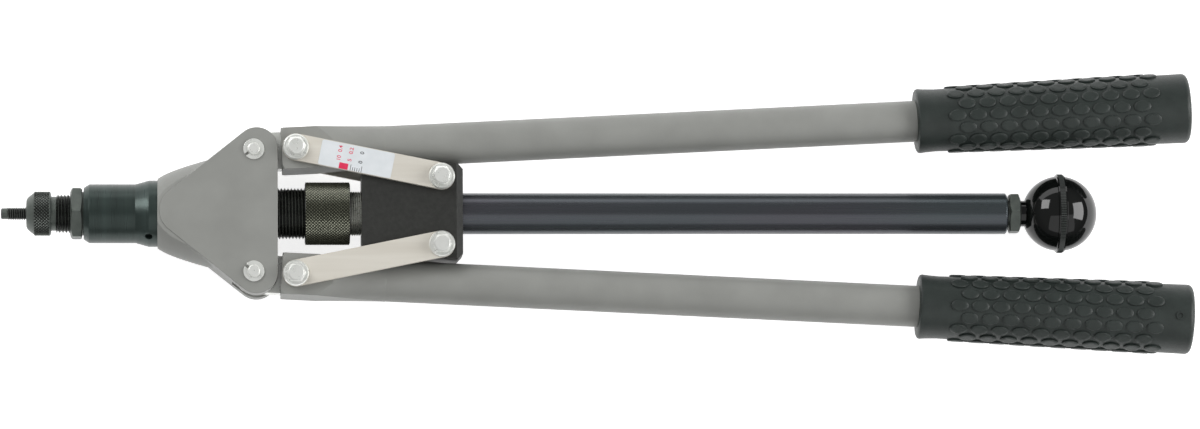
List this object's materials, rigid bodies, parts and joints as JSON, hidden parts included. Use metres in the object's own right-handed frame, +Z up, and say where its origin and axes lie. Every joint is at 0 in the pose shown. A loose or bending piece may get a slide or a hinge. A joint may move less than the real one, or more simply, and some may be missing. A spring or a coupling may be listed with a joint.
{
  "type": "rivet nut tool",
  "caption": "Long-arm hand tool that sets rivet nuts: two arms work links that pull a crosshead and draw the threaded mandrel back through the nose.",
  "frame": {"origin": "on the tool's axis at the front face of the anvil, where the mandrel comes out", "axes": "-X along the mandrel out of the nose, +Y towards the upper arm, +Z up as the tool lies flat"},
  "size_m": [0.5428, 0.1286, 0.0444],
  "materials": {
    "grey_paint": "satin grey paint",
    "nose_steel": "dark phosphated steel",
    "black_steel": "black oxide steel",
    "black_paint": "textured black paint",
    "black_gloss": "glossy blue-black oxide",
    "zinc_steel": "bright zinc plate",
    "link_steel": "satin nickel plate",
    "grip_rubber": "dark moulded rubber",
    "knob_plastic": "polished black plastic",
    "bush_brass": "turned bronze"
  },
  "bodies": {
    "head": {"head_casting": "grey_paint", "nose_barrel": "nose_steel", "anvil": "nose_steel", "anvil_lock_nut": "nose_steel", "threaded_sleeve": "black_steel", "head_pins": "zinc_steel", "head_pin_clips": "zinc_steel"},
    "stroke_nut": {"stroke_nut": "black_steel"},
    "crosshead": {"crosshead": "black_paint", "draw_tube": "black_steel", "draw_cap": "black_steel", "guide_tube": "black_gloss", "guide_tube_bush": "bush_brass", "crosshead_bolts": "zinc_steel", "crosshead_nuts": "zinc_steel"},
    "spindle": {"spindle": "zinc_steel", "spindle_collar": "zinc_steel", "mandrel": "black_steel", "knob_jam_nut": "nose_steel", "ball_knob": "knob_plastic"},
    "upper_arm": {"upper_arm_yoke": "grey_paint", "upper_arm_lug": "zinc_steel", "upper_arm_tube": "grey_paint", "upper_arm_grip": "grip_rubber", "upper_arm_bolt": "zinc_steel", "upper_arm_nut": "zinc_steel"},
    "lower_arm": {"lower_arm_yoke": "grey_paint", "lower_arm_lug": "zinc_steel", "lower_arm_tube": "grey_paint", "lower_arm_grip": "grip_rubber", "lower_arm_bolt": "zinc_steel", "lower_arm_nut": "zinc_steel"},
    "upper_link": {"upper_link_front": "link_steel", "upper_link_back": "link_steel"},
    "lower_link": {"lower_link_front": "link_steel", "lower_link_back": "link_steel"}
  },
  "joints": [
    {"name": "upper_arm_swing", "type": "hinge", "parent": "head", "child": "upper_arm", "pos_m": [0.1026, 0.0277, 0], "axis": [0, 0, 1], "range_deg": [0, 28]},
    {"name": "lower_arm_swing", "type": "hinge", "parent": "head", "child": "lower_arm", "pos_m": [0.1026, -0.0277, 0], "axis": [0, 0, -1], "range_deg": [0, 28]},
    {"name": "upper_link_pivot", "type": "hinge", "parent": "upper_arm", "child": "upper_link", "pos_m": [0.12158, 0.02863, 0], "axis": [0, 0, -1], "range_deg": [0, 36]},
    {"name": "lower_link_pivot", "type": "hinge", "parent": "lower_arm", "child": "lower_link", "pos_m": [0.12158, -0.02863, 0], "axis": [0, 0, 1], "range_deg": [0, 36]},
    {"name": "crosshead_slide", "type": "slide", "parent": "head", "child": "crosshead", "axis": [-1, 0, 0], "range_m": [0, 0.0047]},
    {"name": "knob_turn", "type": "hinge", "parent": "crosshead", "child": "spindle", "pos_m": [0.4, 0, 0], "axis": [1, 0, 0], "continuous": true},
    {"name": "stroke_nut_turn", "type": "hinge", "parent": "head", "child": "stroke_nut", "pos_m": [0.13, 0, 0], "axis": [1, 0, 0], "continuous": true}
  ],
  "couplings": [
    {"joint": "lower_arm_swing", "follows": "upper_arm_swing", "ratio": 1},
    {"joint": "upper_link_pivot", "follows": "upper_arm_swing", "ratio": 1.281},
    {"joint": "lower_link_pivot", "follows": "upper_arm_swing", "ratio": 1.281},
    {"joint": "crosshead_slide", "follows": "upper_arm_swing", "m_per_rad": 0.00942}
  ]
}
